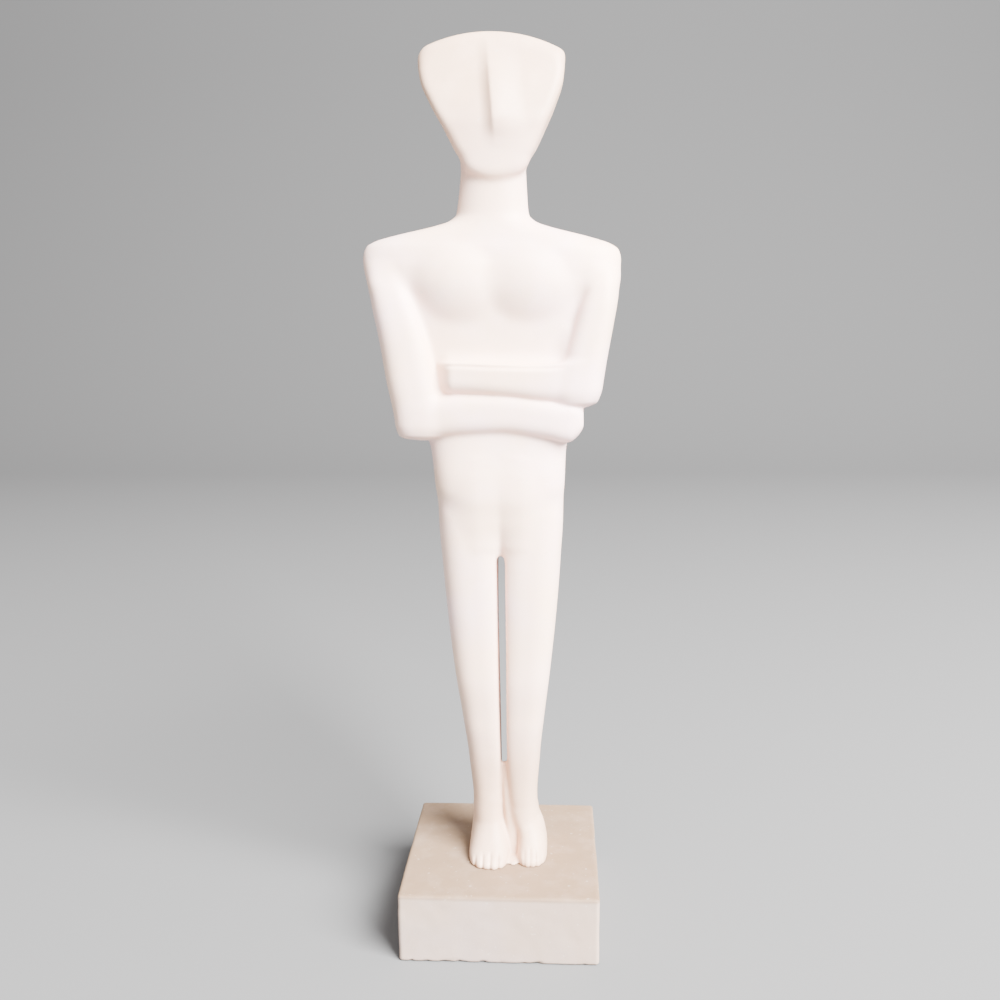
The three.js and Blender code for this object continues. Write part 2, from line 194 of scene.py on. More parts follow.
def stoneMaterial(name, look, pattern):
    material = bpy.data.materials.new(name)
    material.use_nodes = True
    tree = material.node_tree
    tree.nodes.clear()
    bench = Bench(tree)
    place = bench.add("ShaderNodeTexCoord", {}, {}, 3)
    clouds = bench.noise(place, look["cloudSize"], *pattern["clouds"])
    patches = bench.noise(place, look["patchSize"], *pattern["patches"])
    grain = bench.noise(place, look["grainSize"], *pattern["grain"])
    rubs = bench.noise(place, look["rubSize"], *pattern["rubs"])
    specks = bench.noise(place, look["speckSize"], *pattern["specks"])
    speck = bench.fade(specks, look["speckFrom"], look["speckFrom"] + pattern["speckFade"])
    colour = bench.tint(bench.fade(clouds, *pattern["cloudFade"]), look["cool"], look["warm"])
    # painted shade: the stone is tinted darker away from a middle height, on the ends of the figure and on
    # the top of the block
    height = bench.add("ShaderNodeSeparateXYZ", {}, {0: place}, 2)
    ends = bench.fade((height - look["shadeMiddle"]).size(), look["shadeFrom"], look["shadeTo"])
    colour = bench.tint(ends * look["shadeStrength"], colour, look["end"])
    patch = bench.fade(patches, *pattern["patchFade"])
    colour = bench.tint(patch * look["patchStrength"], colour, look["patch"])
    colour = bench.tint(speck * look["speckStrength"], colour, look["speck"])
    rough = look["roughness"] + (grain - 0.5) * look["roughSpread"] + speck * pattern["speckRough"]
    relief = grain * pattern["grainShare"] + rubs * pattern["rubShare"] - speck * look["pit"]
    values = {"Strength": look["bump"], "Distance": look["bumpHeight"], "Height": relief}
    bump = bench.add("ShaderNodeBump", {}, values)
    shader = bench.add("ShaderNodeBsdfPrincipled", {}, {
        "Base Color": colour, "Roughness": rough, "Normal": bump, "Specular IOR Level": look["sheen"],
        "Subsurface Weight": look["glow"], "Subsurface Radius": pattern["glowRadius"],
        "Subsurface Scale": look["glowDepth"],
    })
    output = tree.nodes.new("ShaderNodeOutputMaterial")
    tree.links.new(shader.socket, output.inputs["Surface"])
    return material


# Forms as distances in mm: below zero is stone

farInside, farOutside = -30, 40.0  # distances are kept between these
flattest = 1e-3  # the least steepness that a field is divided by
loftReach, ellipsoidReach = 9.0, 8.0  # how far around a form it is worked out
crispSpan = (0, 0.3)  # where a crisper edge sets in, in hundredths of the height above the form's middle


def smoothCurve(levels, values, at):
    # a smooth curve through the stations that never overshoots them, level beyond its ends
    levels = np.asarray(levels, float)
    values = np.asarray(values, float)
    rise = np.diff(values) / np.diff(levels)
    slopes = np.concatenate((rise[:1], rise[:-1], rise[-1:]))
    before, after = rise[:-1], rise[1:]
    sameWay = before * after > 0
    slopes[1:-1] = np.where(sameWay, 2 * before * after / np.where(sameWay, before + after, 1), 0)
    at = np.clip(at, levels[0], levels[-1])
    i = np.clip(np.searchsorted(levels, at) - 1, 0, len(levels) - 2)
    span = levels[i + 1] - levels[i]
    t = (at - levels[i]) / span
    blend = t * t * (3 - 2 * t)
    leave = t * (1 - t) ** 2 * span * slopes[i]
    arrive = t * t * (t - 1) * span * slopes[i + 1]
    return values[i] + (values[i + 1] - values[i]) * blend + leave + arrive


def softMin(a, b, round):
    near = np.maximum(round - np.abs(a - b), 0) / round
    return np.minimum(a, b) - near * near * round / 4


def softMax(a, b, round):
    return -softMin(-a, -b, round)


def ease(value, low, high):
    t = np.clip((value - low) / (high - low), 0, 1)
    return t * t * (3 - 2 * t)


class Grid:
    # points that the forms are measured at. It is narrow at the feet and wide at the shoulders,
    # so x in a column of points is its place across times the width at that height
    def __init__(self, across, ys, zs, widths):
        self.across, self.ys, self.zs = across, ys, zs
        self.width = smoothCurve(*zip(*widths), zs)
        self.widen = np.gradient(self.width, zs)
        self.shape = (len(across), len(ys), len(zs))

    def empty(self):
        return np.full(self.shape, farOutside)

    def window(self, low, high):
        def span(axis, start, end):
            return slice(max(0, np.searchsorted(axis, start) - 1), np.searchsorted(axis, end) + 2)

        zRange = span(self.zs, low[2], high[2])
        narrow = self.width[zRange].min()
        xRange = span(self.across, min(low[0], low[0] / narrow), max(high[0], high[0] / narrow))
        return xRange, span(self.ys, low[1], high[1]), zRange

    def axes(self, window):
        return (axis[part] for axis, part in zip((self.across, self.ys, self.zs), window))

    def places(self, window):
        across, ys, zs = self.axes(window)
        x = across[:, None, None] * self.width[window[2]][None, None, :]
        return x, ys[None, :, None], zs[None, None, :]

    def slopes(self, values, window):
        across, ys, zs = self.axes(window)
        width = self.width[window[2]][None, None, :]
        widen = self.widen[window[2]][None, None, :]
        byAcross, byY, byZ = np.gradient(values, across, ys, zs)
        byZ = byZ - byAcross * across[:, None, None] * widen / width
        return byAcross / width, byY, byZ

    def distance(self, values, window):
        # a field that is zero on the surface, turned into a distance
        byX, byY, byZ = self.slopes(values, window)
        steep = np.sqrt(byX**2 + byY**2 + byZ**2)
        return np.clip(values / np.maximum(steep, flattest), farInside, farOutside)


def loft(grid, rows, side=1, lying=False, caps=(1.0, 1.0), crisp=0, slant=0):
    # rings between an ellipse and a rectangle, along z, or along x for a lying form.
    # A row is: level, middle, half width, half depth, y of the middle, squareness.
    # caps: how softly the two ends are closed. crisp: how much squarer the upper edge of a lying form is.
    # slant: how far the middle runs back across the form
    level, middle, half, deep, back, square = np.array(rows, float).T
    middle = middle * side
    low = [(middle - half).min(), (back - deep).min(), level[0]]
    high = [(middle + half).max(), (back + deep).max(), level[-1]]
    if lying:
        low.reverse()
        high.reverse()
    window = grid.window([v * share - loftReach for v in low], [v * share + loftReach for v in high])
    x, y, z = grid.places(window)
    along, across = (x, z) if lying else (z, x)
    at = along / share
    find = lambda values: smoothCurve(level, values, at)
    u = across / share - find(middle)
    v = np.abs(y / share - find(back) - slant * u) / find(deep)
    power = find(square) + crisp * ease(u, *crispSpan)
    u = np.abs(u) / find(half)
    form = grid.distance((u**power + v**power) ** (1 / power) - 1, window)
    form = softMax(form, (level[0] - at) * share, caps[0])
    return window, softMax(form, (at - level[-1]) * share, caps[1])


def join(field, window, form, round):
    field[window] = softMin(field[window], form, round)


def cut(field, window, form, round):
    field[window] = softMax(field[window], -form, round)


# In hundredths of the figure's height, from the soles up. How soft a join is, how far something stands out
# or is pressed in, and where it fades out sideways or to the back are in mm. Its right arm is at -x
figureForm = {
    "trunk": [
        (39.8, 0, 5.6, 1.8, 0.1, 2.4), (41.5, 0, 6.9, 2.9, 0.05, 2.5), (44, 0, 7.42, 3.85, 0, 2.8),
        (47.5, 0, 7.75, 4.15, -0.1, 3), (52, 0, 8.08, 3.75, -0.15, 3), (58, 0, 10, 3.6, 0.05, 3),
        (66, 0, 12.3, 3.7, 0.35, 3.2), (69.5, 0, 13.2, 3.8, 0.35, 3.2), (72, 0, 14.25, 3.95, 0.25, 3.2),
        (73.4, 0, 14.8, 3.95, 0.25, 3.1), (74.7, 0, 15.12, 3.85, 0.3, 3),
        (75.7, 0, 14.85, 3.7, 0.3, 2.8), (76.4, 0, 13.8, 3.55, 0.35, 2.6),
        (77, 0, 11.75, 3.4, 0.35, 2.5), (78.2, 0, 6.8, 3.2, 0.4, 2.4), (78.8, 0, 5.1, 3.1, 0.4, 2.3),
        (79.6, 0, 4.25, 3, 0.4, 2.2), (81, 0, 4.05, 2.95, 0.4, 2.2), (84, 0, 3.8, 2.85, 0.4, 2.2),
        (88, 0, 3.6, 2.6, 0.5, 2.2),
    ],
    "leg": [
        (2.2, 2.24, 1.6, 2.2, 0.85, 2.3), (4.8, 2.24, 1.84, 2.65, 0.6, 2.3),
        (8.3, 2.085, 2.035, 2.7, 0.5, 2.4),
        (13.1, 2.1, 2.45, 3.05, 0.45, 2.6), (18, 2.4, 2.75, 3.4, 0.4, 2.7),
        (24, 2.775, 3.125, 3.4, -0.1, 2.7), (32.4, 3.2, 3.55, 3.75, -0.15, 2.7),
        (39, 3.475, 3.825, 4.05, 0, 2.7), (44, 3.625, 3.975, 4.15, 0.15, 2.7),
        (50, 3.425, 3.775, 2.8, 0.2, 2.5),
    ],
    "rightArm": [
        (53.7, 9.6, 2, 2.8, -0.9, 2.6), (54.2, 9.45, 2.45, 3.5, -0.9, 2.8),
        (55.5, 9.25, 2.95, 3.9, -0.85, 3),
        (61.3, 10, 3.2, 4.1, -0.6, 3), (66.2, 11, 3.05, 4.1, -0.35, 3), (69, 11.75, 2.85, 4.0, -0.2, 3),
        (71, 12.2, 2.6, 3.75, -0.05, 3), (72.8, 12.5, 2.37, 3.2, 0.1, 2.6),
        (74.6, 12.7, 2.04, 2.3, 0.25, 2.4),
    ],
    "leftArm": [
        (57.4, 9.3, 1.9, 2.8, -0.9, 2.6), (58, 9.5, 2.45, 3.6, -0.9, 2.8), (59.5, 9.7, 2.8, 4, -0.8, 3),
        (63.7, 10.45, 2.7, 4.1, -0.5, 3), (68.5, 11.6, 2.4, 4, -0.25, 3), (71, 12.2, 2.2, 3.75, 0, 2.9),
        (72.8, 12.55, 2.3, 3.2, 0.1, 2.6), (74.6, 12.65, 2.05, 2.3, 0.25, 2.4),
    ],
    "leftForearm": [
        (-6.7, 60.8, 1.85, 1.3, -2.05, 2.6), (-5, 60.8, 1.96, 2.75, -2.05, 2.6),
        (0.5, 60.5, 2.05, 2.85, -2.2, 2.6), (6, 60.1, 2.35, 2.8, -2.15, 2.6),
        (9.5, 60.1, 2.6, 2.6, -1.95, 2.6), (11.4, 60.4, 2.3, 2.2, -1.6, 2.6),
    ],
    "rightForearm": [
        (-11.1, 56.4, 2, 2.2, -1.5, 2.6), (-9, 56.2, 2.45, 2.6, -1.85, 2.8),
        (-4, 56.65, 2.55, 2.7, -2.05, 3), (0.5, 56.7, 2.4, 2.7, -2.1, 3.2), (6, 56, 2.4, 2.7, -2.05, 3.2),
        (8.4, 55.65, 2.45, 2.6, -1.95, 3.4), (10.2, 56.05, 1.5, 2.2, -1.8, 3.2),
    ],
    # how softly the ends of the arms and forearms are closed, in mm
    "armCaps": (1.5, 5), "rightForearmCaps": (2, 2.5), "leftForearmCaps": (0.8, 2), "leftForearmCrisp": 7,
    # the nose is a ridge of the face: level, where its top line runs, and how high it stands in mm
    "nose": [
        (86.4, 0.38, 0), (87.6, 0.34, 0.5), (88.8, 0.3, 1.7), (90.2, 0.24, 2.45),
        (93.5, -0.02, 2.4), (95.3, -0.15, 2.0), (97, -0.28, 1.1), (98.6, -0.38, 0.4), (99.8, -0.42, 0),
    ],
    "noseSteep": 4.8, "noseGentle": 13.0,  # how wide its two flanks are, in mm
    # the head is a plate: how wide it is, and where its face and its back stand
    "cheeks": [
        (83, 0.28, 3.5), (85.4, 0.32, 3.95), (86.6, 0.3, 4.6), (89, 0.25, 5.8), (91.4, 0.15, 7.03),
        (94.4, 0.05, 8.17), (97, 0, 8.48), (100, 0, 8.6),
    ],
    "face": [(83.5, -3.2), (89, -3.2), (91.4, -2.8), (94.4, -1.9), (97, -1.05), (100, -0.24)],
    "nape": [(84, 0.6), (87, 2.55), (89, 3.1), (91.4, 3.2), (94.4, 3.1), (97, 2.95), (100, 2.75)],
    "crownRadius": 18.2, "crownAcross": -0.5, "faceBulge": 0.4, "napeBulge": 1.5,
    "chinLevel": 83.1, "chinRadius": 5.3, "chinAcross": 0.3,
    "headRound": 4.6,
    # the upper corners as the camera sees them
    "cornerLeft": 4.2, "cornerRight": 2.2, "cornerTurn": (-10, 10),
    "headSpace": {"half": 9.2, "deep": 5, "from": 82, "above": 6},
    # in mm: how softly the face turns into the outline, softer at the chin and at the crown
    "edgeRound": [(83, 4.4), (87, 4.0), (91, 3.4), (95, 3.6), (98, 6.0), (100, 6.0)],
    "chinRound": 3.0,
    "breasts": {"across": 4.1, "level": 71.6, "radius": 4.3, "squash": 0.85, "swell": 1.95, "front": -2.6},
    # the slot between the legs, and the stone that is left between the ankles
    "gap": {"top": 39.3, "bottom": 7, "halfTop": 0.56, "halfBottom": 0.46, "space": (10, 20, 8)},
    "web": [
        (-1, 1, 1, 2.8, 0.1, 3), (3, 0.8, 1, 2.2, 0.6, 3), (7, 0.5, 0.95, 2.0, 0.6, 3),
        (14, 0.4, 0.95, 1.9, 0.7, 3),
    ],
    "webTop": 11.7, "webSlope": 0.5, "webRound": 0.8,
    # a foot's rows: level, how far the instep has run back there from the toes to the shin, its width,
    # how near it is to the ankle's place, and its squareness
    "foot": [
        (-1, 0.03, 1, 0, 3), (0.35, 0, 1, 0, 3), (0.75, 0.06, 1, 0, 3), (1.15, 0.2, 0.99, 0, 2.9),
        (1.7, 0.4, 0.97, 0.03, 2.7), (2.5, 0.62, 0.94, 0.12, 2.5), (3.4, 0.8, 0.92, 0.32, 2.4),
        (4.6, 0.94, 0.88, 0.7, 2.3), (6, 1, 0.82, 1, 2.3),
    ],
    "shin": -1.95, "ankleHalf": 1.85, "ankleBack": 3.2,
    "feet": [
        {"x": -2.1, "half": 2.57, "front": -5.9, "back": 3.6, "ankle": -2.2, "toeDeep": 0.85},
        {"x": 3.4, "half": 1.87, "front": -5.1, "back": 3.6, "ankle": 2.2, "toeDeep": 0.4},
    ],
    "toeSlant": 0.12, "toeLength": 1.7, "bigToe": 1.35, "toeCount": 5,
    "pad": {"middle": (1, -3, 0), "radii": (1, 1.7, 0.4)},
    # the belly's low edge is a curve that rises to the sides
    "belly": {
        "edge": 45.0, "rise": 2.4, "half": 9, "swell": 0.75, "edgeFade": (-1.0, 1.6), "topFade": (49, 54),
        "backFade": (-6, 0), "sideFade": (20, 30),
    },
    # a thin line pressed in along the upper edge of the upper forearm
    "crease": {
        "from": -5.2, "to": 6.6, "fadeIn": 0.8, "fadeOut": 2, "drop": 1.6, "width": 0.75, "deep": 0.6,
    },
    # the chest slopes out to the upper forearm, and only a thin edge of it is left to show
    "ramp": {
        "ledge": 1.2, "round": 0.5, "slope": 6.5, "lowFade": (60.5, 62), "highFade": (66, 69),
        "across": 4, "sideFade": (22, 30),
    },
    "spine": {"top": 73, "bottom": 50, "half": 0.8, "deep": 0.45, "slope": 1.15, "inset": 0.3},
    # where its midline runs across the block: it leans, and its chest is a little to one side
    "midline": [
        (0, 0.45), (12, 0.3), (18, 0.24), (30, 0.22), (44, 0.2), (49, 0.1), (54, -0.06), (60, -0.12),
        (66, -0.06), (69.5, -0.11), (74, -0.66), (77.5, -0.5), (80, -0.45), (84, -0.35), (100, -0.5),
    ],
    "shoulderTilt": 0.024, "shoulderLevel": 75, "shoulderSpan": 9,
    # how softly each form runs into the stone around it, in mm
    "joins": {
        "leg": 1.2, "trunk": 0.8, "trunkMiddle": 6, "arm": 1, "elbow": 3.0, "armPair": 0.8, "breast": 5.0,
        "head": 1.7, "gap": 1.6, "spine": 1.6, "web": 1.2, "foot": 1.2, "pad": 1.5, "ground": 0.5,
    },
    "trunkSoft": (8, 22),
    "armRound": {"arm": 1.4, "shoulder": 1.6, "ramp": 0.8, "fade": (67, 72)},
    "unevenness": 0.1, "unevenFrom": (4, 30),
}


def headForm(grid, form):
    levels = np.array([row[0] for row in form["cheeks"]])
    space = form["headSpace"]
    half = space["half"] * share + loftReach
    deep = space["deep"] * share
    window = grid.window([-half, -deep, space["from"] * share], [half, deep, 100 * share + space["above"]])
    x, y, z = grid.places(window)
    level = z / share
    middle = smoothCurve(levels, [row[1] for row in form["cheeks"]], level) * share
    wide = smoothCurve(levels, [row[2] for row in form["cheeks"]], level) * share
    cheeks = grid.distance(np.abs(x - middle) - wide + 0 * y, window)
    radius = form["crownRadius"] * share
    crown = np.hypot(x - form["crownAcross"] * share, z - (100 * share - radius)) - radius + 0 * y
    bend = (x - form["chinAcross"] * share) / (form["chinRadius"] * share)
    chinZ = form["chinLevel"] * share + bend * bend * form["chinRadius"] * share / 2
    chin = (chinZ - z) / np.sqrt(1 + bend * bend) + 0 * y
    bulge = form["faceBulge"] * share * (x / wide) ** 2
    # the nose is steep on one side and fades into the cheek on the other
    noseLevel, ridge, rise = zip(*form["nose"])
    off = x - smoothCurve(noseLevel, ridge, level) * share
    flank = np.where(off < 0, -off / form["noseSteep"], off / form["noseGentle"])
    slope = np.where(off < 0, (1 - np.clip(flank, 0, 1)) ** 2, 1 - ease(flank, 0, 1))
    nose = smoothCurve(noseLevel, rise, level) * slope
    face = grid.distance(smoothCurve(*zip(*form["face"]), level) * share + bulge - nose - y, window)
    nape = y - smoothCurve(*zip(*form["nape"]), level) * share + bulge * form["napeBulge"]
    nape = grid.distance(nape, window)
    toRight = ease(x, *form["cornerTurn"])
    corner = form["cornerLeft"] + (form["cornerRight"] - form["cornerLeft"]) * toRight
    outline = softMax(softMax(cheeks, crown, corner), chin, form["chinRound"])
    edge = smoothCurve(*zip(*form["edgeRound"]), level)
    plate = softMax(softMax(face, outline, edge), nape, form["headRound"])
    whole = grid.empty()
    whole[window] = plate
    return whole


def ellipsoid(grid, middle, radii):
    middle = [v * share for v in middle]
    radii = [v * share for v in radii]
    low = [m - r - ellipsoidReach for m, r in zip(middle, radii)]
    high = [m + r + ellipsoidReach for m, r in zip(middle, radii)]
    window = grid.window(low, high)
    scaled = [(axis - m) / r for axis, m, r in zip(grid.places(window), middle, radii)]
    return window, grid.distance(np.sqrt(scaled[0] ** 2 + scaled[1] ** 2 + scaled[2] ** 2) - 1, window)


def gapForm(grid, gap):
    top = (gap["top"] - gap["halfTop"]) * share
    bottom = (gap["bottom"] + gap["halfBottom"]) * share
    side, deep, beyond = gap["space"]
    window = grid.window([-side, -deep, bottom - beyond], [side, deep, top + beyond])
    x, y, z = grid.places(window)
    along = np.clip((z - bottom) / (top - bottom), 0, 1)
    half = (gap["halfBottom"] + (gap["halfTop"] - gap["halfBottom"]) * along) * share
    return window, np.hypot(x, z - bottom - along * (top - bottom)) - half + 0 * y


def webForm(grid, form):
    # its top falls away to the back, so that the slot is open down to its front edge
    window, web = loft(grid, form["web"])
    x, y, z = grid.places(window)
    slope = form["webSlope"]
    top = (z - form["webTop"] * share + slope * y) / math.hypot(1, slope)
    return window, softMax(web, top + 0 * x, form["webRound"])


def creaseForm(grid, form):
    # how deep the line along the upper forearm is pressed in at each point
    crease = form["crease"]
    window = grid.window([-22, -24, 58 * share], [32, -4, 68 * share])
    x, y, z = grid.places(window)
    level, middle, half = np.array(form["leftForearm"], float).T[:3]
    along = x / share
    line = smoothCurve(level, middle + half, along) * share - crease["drop"]
    ends = ease(along, crease["from"] - crease["fadeIn"], crease["from"])
    ends = ends * (1 - ease(along, crease["to"], crease["to"] + crease["fadeOut"]))
    pressed = np.zeros(grid.shape)
    pressed[window] = crease["deep"] * ends * np.exp(-(((z - line) / crease["width"]) ** 2)) + 0 * y
    return pressed


def spineForm(grid, form):
    spine = form["spine"]
    window = grid.window([-9, 0, spine["bottom"] * share], [9, 22, spine["top"] * share])
    x, y, z = grid.places(window)
    level = z / share
    trunk = np.array(form["trunk"], float)
    skin = smoothCurve(trunk[:, 0], trunk[:, 3] + trunk[:, 4], level) * share
    fade = np.sin(np.pi * np.clip((level - spine["bottom"]) / (spine["top"] - spine["bottom"]), 0, 1))
    floor = skin - spine["deep"] * share * fade + np.abs(x) * spine["deep"] / spine["half"]
    return window, (floor - y) / spine["slope"] + spine["inset"]


def footForm(grid, form, foot):
    inward = -math.copysign(1, foot["x"])
    rows = []
    for level, runBack, wide, toAnkle, square in form["foot"]:
        front = foot["front"] + (form["shin"] - foot["front"]) * runBack
        across = foot["x"] + (foot["ankle"] - foot["x"]) * toAnkle
        half = foot["half"] * wide
        half += (form["ankleHalf"] - half) * toAnkle
        heel = foot["back"] + (form["ankleBack"] - foot["back"]) * toAnkle
        rows.append((level, across, half, (heel - front) / 2, (heel + front) / 2, square))
    window, sole = loft(grid, rows, slant=-inward * form["toeSlant"])
    # the toes: each swells between its two grooves
    x, y, z = grid.places(window)
    small = foot["half"] * 2 / (form["toeCount"] - 1 + form["bigToe"])
    outer = foot["x"] - inward * foot["half"]
    place = (x / share - outer) * inward / small
    big = place > form["toeCount"] - 1
    middle = np.where(big, form["toeCount"] - 1 + form["bigToe"] / 2, np.floor(place) + 0.5)
    off = np.abs(place - middle) * np.where(big, 2 / form["bigToe"], 2)
    behind = ease(y / share - foot["front"], form["toeLength"] / 2, form["toeLength"])
    groove = np.clip(off, 0, 1) ** 3 * (1 - behind)
    return window, sole + foot["toeDeep"] * groove + 0 * z


everywhere = (slice(None), slice(None), slice(None))


def armForms(grid, form):
    # both arms together, and the left one with the upper forearm by itself
    soft = form["joins"]
    arms = grid.empty()
    upper = grid.empty()
    join(arms, *loft(grid, form["rightArm"], side=-1, caps=form["armCaps"]), soft["arm"])
    lower = loft(grid, form["rightForearm"], lying=True, caps=form["rightForearmCaps"])
    join(arms, *lower, soft["elbow"])
    join(upper, *loft(grid, form["leftArm"], caps=form["armCaps"]), soft["arm"])
    crisp = form["leftForearmCrisp"]
    forearm = loft(grid, form["leftForearm"], lying=True, caps=form["leftForearmCaps"], crisp=crisp)
    join(upper, *forearm, soft["elbow"])
    join(arms, everywhere, upper, soft["armPair"])
    return arms, upper


def bellyForm(grid, form):
    # how far the belly stands out above its low curved edge at each point
    belly = form["belly"]
    x, y, z = grid.places(everywhere)
    level = z / share
    edge = level - belly["edge"] - belly["rise"] * (x / (belly["half"] * share)) ** 2
    swell = ease(edge, *belly["edgeFade"]) * (1 - ease(level, *belly["topFade"]))
    ahead = 1 - ease(y, *belly["backFade"])
    return belly["swell"] * swell * ahead * (1 - ease(np.abs(x), *belly["sideFade"]))


def carveFigure(grid, form):
    soft = form["joins"]
    x, y, z = grid.places(everywhere)
    level = z / share

    body = grid.empty()
    for side in (-1, 1):
        join(body, *loft(grid, form["leg"], side=side), soft["leg"])
    window, trunk = loft(grid, form["trunk"])
    inner = 1 - ease(np.abs(x), *form["trunkSoft"])
    softness = (soft["trunk"] + soft["trunkMiddle"] * inner + 0 * y)[:, :1, :]
    join(body, window, trunk, softness[window[0], :, window[2]])

    arms, upper = armForms(grid, form)
    ramp = form["ramp"]
    height = ease(level, *ramp["lowFade"]) * (1 - ease(level, *ramp["highFade"]))
    slope = height * (1 - ease(np.abs(x - ramp["across"]), *ramp["sideFade"]))
    body = softMin(body, upper + ramp["ledge"], ramp["round"] + ramp["slope"] * slope)
    turn = form["armRound"]
    softness = turn["arm"] + turn["shoulder"] * ease(level, *turn["fade"]) - turn["ramp"] * slope
    body = softMin(body, arms, softness)
    body = body + creaseForm(grid, form)
    body = body - bellyForm(grid, form)

    bust = form["breasts"]
    for side in (-1, 1):
        middle = (side * bust["across"], bust["front"], bust["level"])
        radii = (bust["radius"], bust["swell"], bust["radius"] * bust["squash"])
        join(body, *ellipsoid(grid, middle, radii), soft["breast"])
    body = softMin(body, headForm(grid, form), soft["head"])
    cut(body, *gapForm(grid, form["gap"]), soft["gap"])
    cut(body, *spineForm(grid, form), soft["spine"])
    join(body, *webForm(grid, form), soft["web"])
    for foot in form["feet"]:
        join(body, *footForm(grid, form, foot), soft["foot"])
    join(body, *ellipsoid(grid, form["pad"]["middle"], form["pad"]["radii"]), soft["pad"])
    # slow waves, as a hand leaves them; the feet are spared
    waves = np.sin(x / 9 + 1.3) * np.sin(z / 13 + 0.4) + np.sin(y / 6 + z / 17) * np.sin(x / 15 - z / 23)
    body = body + form["unevenness"] * waves * ease(z, *form["unevenFrom"])
    return softMax(body, -z + 0 * body, soft["ground"])


def netOf(grid, field):
    # one point in each cell that the surface passes through, joined to quads
    inside = field < 0
    corners = [(i, j, k) for i in (0, 1) for j in (0, 1) for k in (0, 1)]
    nx, ny, nz = (n - 1 for n in grid.shape)
    shifted = {c: (slice(c[0], c[0] + nx), slice(c[1], c[1] + ny), slice(c[2], c[2] + nz)) for c in corners}
    count = sum(inside[shifted[c]].astype(np.int8) for c in corners)
    cells = np.argwhere((count > 0) & (count < 8))
    ids = np.full((nx, ny, nz), -1, np.int64)
    ids[tuple(cells.T)] = np.arange(len(cells))
    total = np.zeros((len(cells), 3))
    hits = np.zeros(len(cells))
    for first in corners:
        for axis in range(3):
            if first[axis]:
                continue
            second = tuple(1 if a == axis else c for a, c in enumerate(first))
            fa = field[tuple((cells + first).T)]
            fb = field[tuple((cells + second).T)]
            crossed = (fa < 0) != (fb < 0)
            t = np.where(crossed, fa / np.where(crossed, fa - fb, 1), 0)
            spot = np.array(first, float)[None, :] + 0 * total
            spot[:, axis] = t
            total += spot * crossed[:, None]
            hits += crossed
    points = cells + total / hits[:, None]
    quads = []
    for axis in range(3):
        b, c = (axis + 1) % 3, (axis + 2) % 3
        here = [slice(None)] * 3
        there = [slice(None)] * 3
        here[axis], there[axis] = slice(0, -1), slice(1, None)
        first, second = inside[tuple(here)], inside[tuple(there)]
        edges = np.argwhere(first != second)
        outward = first[tuple(edges.T)]
        ring = []
        for db, dc in ((-1, -1), (0, -1), (0, 0), (-1, 0)):
            cell = edges.copy()
            cell[:, b] += db
            cell[:, c] += dc
            ring.append(ids[tuple(cell.T)])
        ring = np.stack(ring, 1)
        quads.append(np.where(outward[:, None], ring, ring[:, ::-1]))
    return points, np.concatenate(quads)


def sample(values, points):
    base = np.clip(np.floor(points).astype(int), 0, np.array(values.shape) - 2)
    part = points - base
    found = np.zeros(len(points))
    for i in (0, 1):
        for j in (0, 1):
            for k in (0, 1):
                weight = np.abs(1 - i - part[:, 0]) * np.abs(1 - j - part[:, 1]) * np.abs(1 - k - part[:, 2])
                found += weight * values[base[:, 0] + i, base[:, 1] + j, base[:, 2] + k]
    return found


def toPlaces(grid, points):
    across, y, z = (
        np.interp(points[:, n], np.arange(len(axis)), axis)
        for n, axis in enumerate((grid.across, grid.ys, grid.zs))
    )
    return np.stack((across * np.interp(z, grid.zs, grid.width), y, z), 1)


def toPoints(grid, places):
    across = places[:, 0] / np.interp(places[:, 2], grid.zs, grid.width)
    return np.stack([
        np.interp(value, axis, np.arange(len(axis)))
        for value, axis in zip((across, places[:, 1], places[:, 2]), (grid.across, grid.ys, grid.zs))
    ], 1)


netSettling = {"rounds": 3, "pull": 0.5, "presses": 2, "leastSlope": 0.05, "longestStep": 1}


def settle(grid, field, points, quads, settling):
    # evens out the net, then lays each point back on the surface
    slopes = grid.slopes(field, everywhere)
    places = toPlaces(grid, points)
    a = quads.ravel()
    b = np.roll(quads, -1, 1).ravel()
    ends = np.concatenate((a, b))
    others = np.concatenate((b, a))
    degree = np.bincount(ends, minlength=len(places))[:, None]
    longest = settling["longestStep"]
    for _ in range(settling["rounds"]):
        mean = np.stack([np.bincount(ends, places[others, n], len(places)) for n in range(3)], 1) / degree
        places += (mean - places) * settling["pull"]
        for _ in range(settling["presses"]):
            spots = toPoints(grid, places)
            normal = np.stack([sample(slope, spots) for slope in slopes], 1)
            step = sample(field, spots) / np.maximum((normal**2).sum(1), settling["leastSlope"])
            places -= normal * np.clip(step, -longest, longest)[:, None]
    return places


def lean(places, form):
    # one shoulder sits higher, and the figure leans a little across its block
    off = (places[:, 2] / share - form["shoulderLevel"]) / form["shoulderSpan"]
    near = np.maximum(0, 1 - off * off)
    places[:, 2] -= form["shoulderTilt"] * places[:, 0] * near * near
    places[:, 0] += smoothCurve(*zip(*form["midline"]), places[:, 2] / share) * share
    places[:, 2] = np.maximum(places[:, 2], 0)
    return places


def spaced(stations):
    # places from the first station to the last, with the step that each station gives
    places = [stations[0][0]]
    marks, steps = zip(*stations)
    while places[-1] < marks[-1]:
        places.append(places[-1] + float(np.interp(places[-1], marks, steps)))
    return np.array(places)


